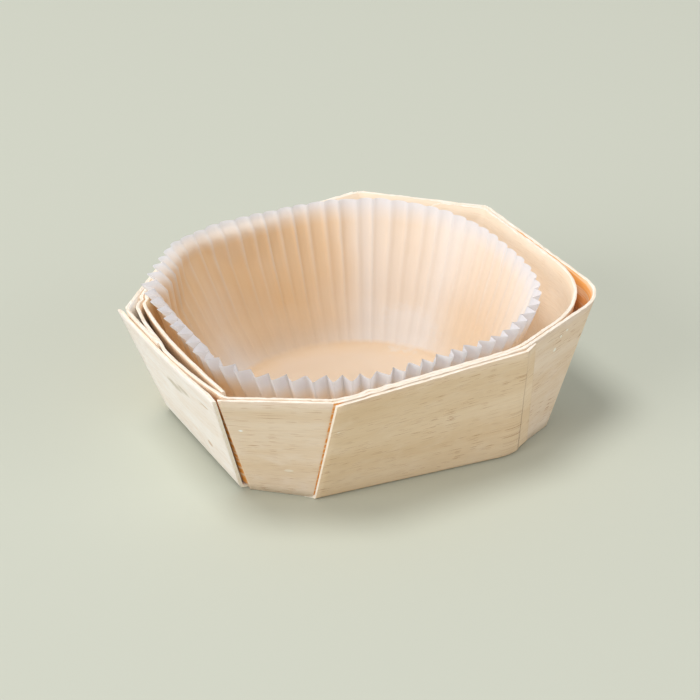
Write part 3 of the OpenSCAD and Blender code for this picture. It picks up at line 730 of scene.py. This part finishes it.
def pleatingTree():
    # folds a smooth skin into pleats: it reads each point's share round, share up and outward direction
    tree = bpy.data.node_groups.new("pleating", "GeometryNodeTree")
    tree.interface.new_socket("Geometry", in_out="OUTPUT", socket_type="NodeSocketGeometry")
    tree.interface.new_socket("Geometry", in_out="INPUT", socket_type="NodeSocketGeometry")
    for label in ("Pleats", "Depth At Rim", "Depth At Floor", "Flat Side", "Flat Width", "Flat Depth",
                  "Unevenness", "Rim Waviness", "Crumple", "Seed"):
        tree.interface.new_socket(label, in_out="INPUT", socket_type="NodeSocketFloat")
    tree.interface.new_socket("Paper", in_out="INPUT", socket_type="NodeSocketMaterial")
    add = partial(addNode, tree)
    given = add("NodeGroupInput").node.outputs
    around, up = [add("GeometryNodeInputNamedAttribute", {"Name": label}, "Attribute", data_type="FLOAT")
                  for label in ("round", "up")]
    outward = add("GeometryNodeInputNamedAttribute", {"Name": "outward"}, "Attribute",
                  data_type="FLOAT_VECTOR")
    seeded = add("ShaderNodeCombineXYZ", {"Z": given["Seed"]})
    ringPlace = add("ShaderNodeVectorMath", {0: outward, 1: seeded}, operation="ADD")
    drift, quick = [add("ShaderNodeTexNoise", {"Vector": ringPlace, "Scale": scale, "Detail": 2.0}, "Fac")
                    for scale in (2.2, 9.0)]
    wall = add("ShaderNodeClamp", {"Value": up})
    # one stretch of the ring is pressed flat against the wood: 1 there and 0 elsewhere
    away = add("ShaderNodeMath", {0: around, 1: given["Flat Side"]}, operation="SUBTRACT")
    away = add("ShaderNodeMath", {0: away}, operation="ABSOLUTE")
    otherWay = add("ShaderNodeMath", {0: 1.0, 1: away}, operation="SUBTRACT")
    away = add("ShaderNodeMath", {0: away, 1: otherWay}, operation="MINIMUM")
    fullyFlat = add("ShaderNodeMath", {0: given["Flat Width"], 1: 0.7}, operation="MULTIPLY")
    flat = add("ShaderNodeMapRange", {"Value": away, "From Min": fullyFlat, "From Max": given["Flat Width"],
                                      "To Min": 1.0, "To Max": 0.0}, interpolation_type="SMOOTHSTEP")
    # pleats run nearly straight up, and their spacing changes a little round the ring
    shift = add("ShaderNodeMath", {0: quick, 1: 0.5}, operation="SUBTRACT")
    shift = add("ShaderNodeMath", {0: shift, 1: given["Unevenness"]}, operation="MULTIPLY")
    ridge = around
    for operation, other in (("MULTIPLY", given["Pleats"]), ("ADD", shift), ("ADD", 9.0), ("FRACT", 0.0),
                             ("SUBTRACT", 0.5), ("ABSOLUTE", 0.0), ("MULTIPLY", -2.0), ("ADD", 1.0)):
        ridge = add("ShaderNodeMath", {0: ridge, 1: other}, operation=operation)
    # the ridge that points inwards: an even zigzag where it stands free, a narrow rib where it lies flat
    sharpness = add("ShaderNodeMapRange", {"Value": flat, "To Min": 1.0, "To Max": 2.6})
    drawIn = add("ShaderNodeMath", {0: ridge, 1: sharpness}, operation="POWER")
    grow = add("ShaderNodeMapRange", {"Value": wall, "To Min": given["Depth At Floor"],
                                      "To Max": given["Depth At Rim"]})
    eased = add("ShaderNodeMapRange", {"Value": flat, "To Min": 1.0, "To Max": given["Flat Depth"]})
    onFloor = add("ShaderNodeMapRange", {"Value": up, "From Min": -0.22, "From Max": 0.0})
    vary = add("ShaderNodeMapRange", {"Value": drift, "From Min": 0.3, "From Max": 0.7,
                                      "To Min": 0.85, "To Max": 1.1})
    for share in (grow, eased, onFloor, vary, -1.0):
        drawIn = add("ShaderNodeMath", {0: drawIn, 1: share}, operation="MULTIPLY")
    crumple = add("ShaderNodeTexNoise", {"Scale": 90.0, "Detail": 1.0}, "Color")
    crumple = add("ShaderNodeVectorMath", {0: crumple, 1: (0.5, 0.5, 0.5)}, operation="SUBTRACT")
    crumpleSize = add("ShaderNodeMath", {0: given["Crumple"], 1: wall}, operation="MULTIPLY")
    crumple = add("ShaderNodeVectorMath", {0: crumple, "Scale": crumpleSize}, operation="SCALE")
    wave = drift
    for operation, other in (("SUBTRACT", 0.5), ("MULTIPLY", given["Rim Waviness"]), ("MULTIPLY", wall)):
        wave = add("ShaderNodeMath", {0: wave, 1: other}, operation=operation)
    move = add("ShaderNodeVectorMath", {0: outward, "Scale": drawIn}, operation="SCALE")
    for other in (add("ShaderNodeCombineXYZ", {"Z": wave}), crumple):
        move = add("ShaderNodeVectorMath", {0: move, 1: other}, operation="ADD")
    fold = add("ShaderNodeMath", {0: ridge, 1: 5.0}, operation="POWER")
    fold = add("ShaderNodeMath", {0: fold, 1: wall}, operation="MULTIPLY")
    skin = add("GeometryNodeStoreNamedAttribute", {"Geometry": given["Geometry"], "Name": "fold",
                                                   "Value": fold}, data_type="FLOAT")
    skin = add("GeometryNodeSetPosition", {"Geometry": skin, "Offset": move})
    for kind in ("GeometryNodeSetShadeSmooth", "GeometryNodeRealizeInstances"):
        skin = add(kind, {"Geometry": skin})
    skin = add("GeometryNodeSetMaterial", {"Geometry": skin, "Material": given["Paper"]})
    add("NodeGroupOutput", {"Geometry": skin})
    return tree


def madeByTree(name, startMesh, tree, values):
    holder = bpy.data.objects.new(name + "Maker", startMesh)
    bpy.context.scene.collection.objects.link(holder)
    maker = holder.modifiers.new("maker", "NODES")
    maker.node_group = tree
    sockets = {item.name: item.identifier for item in tree.interface.items_tree if item.in_out == "INPUT"}
    for label, value in values.items():
        maker[sockets[label]] = value
    view = bpy.context.evaluated_depsgraph_get()
    view.update()
    mesh = bpy.data.meshes.new_from_object(holder.evaluated_get(view))
    mesh.name = name
    piece = bpy.data.objects.new(name, mesh)
    bpy.context.scene.collection.objects.link(piece)
    bpy.data.objects.remove(holder)
    return piece


paper = greaseproofPaper("greaseproofPaper")
linerPiece = madeByTree("pleatedPaperLiner", linerSkin("linerSkin"), pleatingTree(), {
    "Pleats": float(liner["pleats"]), "Depth At Rim": liner["pleatRim"] / 1000,
    "Depth At Floor": liner["pleatFloor"] / 1000, "Flat Side": liner["flatSide"],
    "Flat Width": liner["flatWidth"], "Flat Depth": liner["flatDepth"], "Unevenness": liner["unevenness"],
    "Rim Waviness": liner["rimWave"] / 1000, "Crumple": liner["crumple"] / 1000, "Seed": liner["seed"],
    "Paper": paper,
})
print("liner made", len(linerPiece.data.polygons))


# riding and replacing

for piece, node, slotName in ((floorPiece, "floor_sheet", "veneer"), (crossPiece, "cross_sheet", "veneer"),
                              (outerPiece, "outer_band", "veneer"), (innerPiece, "inner_band", "veneer"),
                              (liningPiece, "lining_strip", "veneer"), (linerPiece, "paper_liner", "paper")):
    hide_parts(node)
    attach(piece, "root")


# stage, light and camera

stage = {
    "colour": "#C9CDC0", "size": 1.8, "backdrop": "#D5D8CA", "ambient": "#FFFDFC", "ambientStrength": 0.48,
    # azimuth is measured from the camera's right hand, counterclockwise seen from above
    "lamps": [
        {"name": "topLamp", "azimuth": 184, "elevation": 75, "size": 1.3, "power": 41, "colour": "#FFFDFB"},
        {"name": "sideLamp", "azimuth": 216, "elevation": 23, "size": 2.0, "power": 39, "colour": "#FFFEFD"},
        {"name": "rightLamp", "azimuth": 338, "elevation": 20, "size": 2.0, "power": 15, "colour": "#FFFDFB"},
    ],
    "lampDistance": 3.0,
}
floorMesh = bpy.data.meshes.new("tableTop")
half = stage["size"] / 2
floorMesh.from_pydata([(-half, -half, 0), (half, -half, 0), (half, half, 0), (-half, half, 0)], [],
                      [(0, 1, 2, 3)])
tableTop = bpy.data.objects.new("tableTop", floorMesh)
bpy.context.scene.collection.objects.link(tableTop)
tablePaint = bpy.data.materials.new("mattPaint")
tablePaint.use_nodes = True
tableShader = tablePaint.node_tree.nodes["Principled BSDF"]
tableShader.inputs["Base Color"].default_value = linearColour(stage["colour"])
tableShader.inputs["Roughness"].default_value = 0.95
tableShader.inputs["Specular IOR Level"].default_value = 0.1
floorMesh.materials.append(tablePaint)

view = {"azimuth": 28.0, "elevation": 29.5, "distance": 0.65, "aim": (0.0147, 0.0263, 0.0), "lens": 121.0}
lookAlong = Vector((math.sin(math.radians(view["azimuth"])) * math.cos(math.radians(view["elevation"])),
                    math.cos(math.radians(view["azimuth"])) * math.cos(math.radians(view["elevation"])),
                    -math.sin(math.radians(view["elevation"]))))
cameraData = bpy.data.cameras.new("camera")
cameraData.lens = view["lens"]
cameraData.sensor_width = 36
cameraData.clip_end = 50
camera = bpy.data.objects.new("camera", cameraData)
camera.location = Vector(view["aim"]) - lookAlong * view["distance"]
camera.rotation_euler = lookAlong.to_track_quat("-Z", "Y").to_euler()
bpy.context.scene.collection.objects.link(camera)
bpy.context.scene.camera = camera

for lamp in stage["lamps"]:
    turn, rise = math.radians(lamp["azimuth"] - view["azimuth"]), math.radians(lamp["elevation"])
    lampData = bpy.data.lights.new(lamp["name"], "AREA")
    lampData.shape = "DISK"
    lampData.size = lamp["size"]
    lampData.energy = lamp["power"]
    lampData.color = linearColour(lamp["colour"])[:3]
    lampObject = bpy.data.objects.new(lamp["name"], lampData)
    lampObject.location = stage["lampDistance"] * Vector((math.cos(turn) * math.cos(rise),
                                                          math.sin(turn) * math.cos(rise), math.sin(rise)))
    lampObject.rotation_euler = (-lampObject.location).to_track_quat("-Z", "Y").to_euler()
    bpy.context.scene.collection.objects.link(lampObject)

world = bpy.data.worlds.new("studio")
bpy.context.scene.world = world
world.use_nodes = True
# soft ambient light, and for the camera alone a plain backdrop as pale as the table top
world.node_tree.nodes.clear()
add = partial(addNode, world.node_tree)
ambient = add("ShaderNodeBackground", {"Color": stage["ambient"], "Strength": stage["ambientStrength"]})
backdrop = add("ShaderNodeBackground", {"Color": stage["backdrop"], "Strength": 1.0})
seen = add("ShaderNodeLightPath", output="Is Camera Ray")
add("ShaderNodeOutputWorld", {"Surface": add("ShaderNodeMixShader", {"Fac": seen, 1: ambient, 2: backdrop})})
bpy.context.scene.view_settings.view_transform = "Standard"
print("stage, light and camera set")
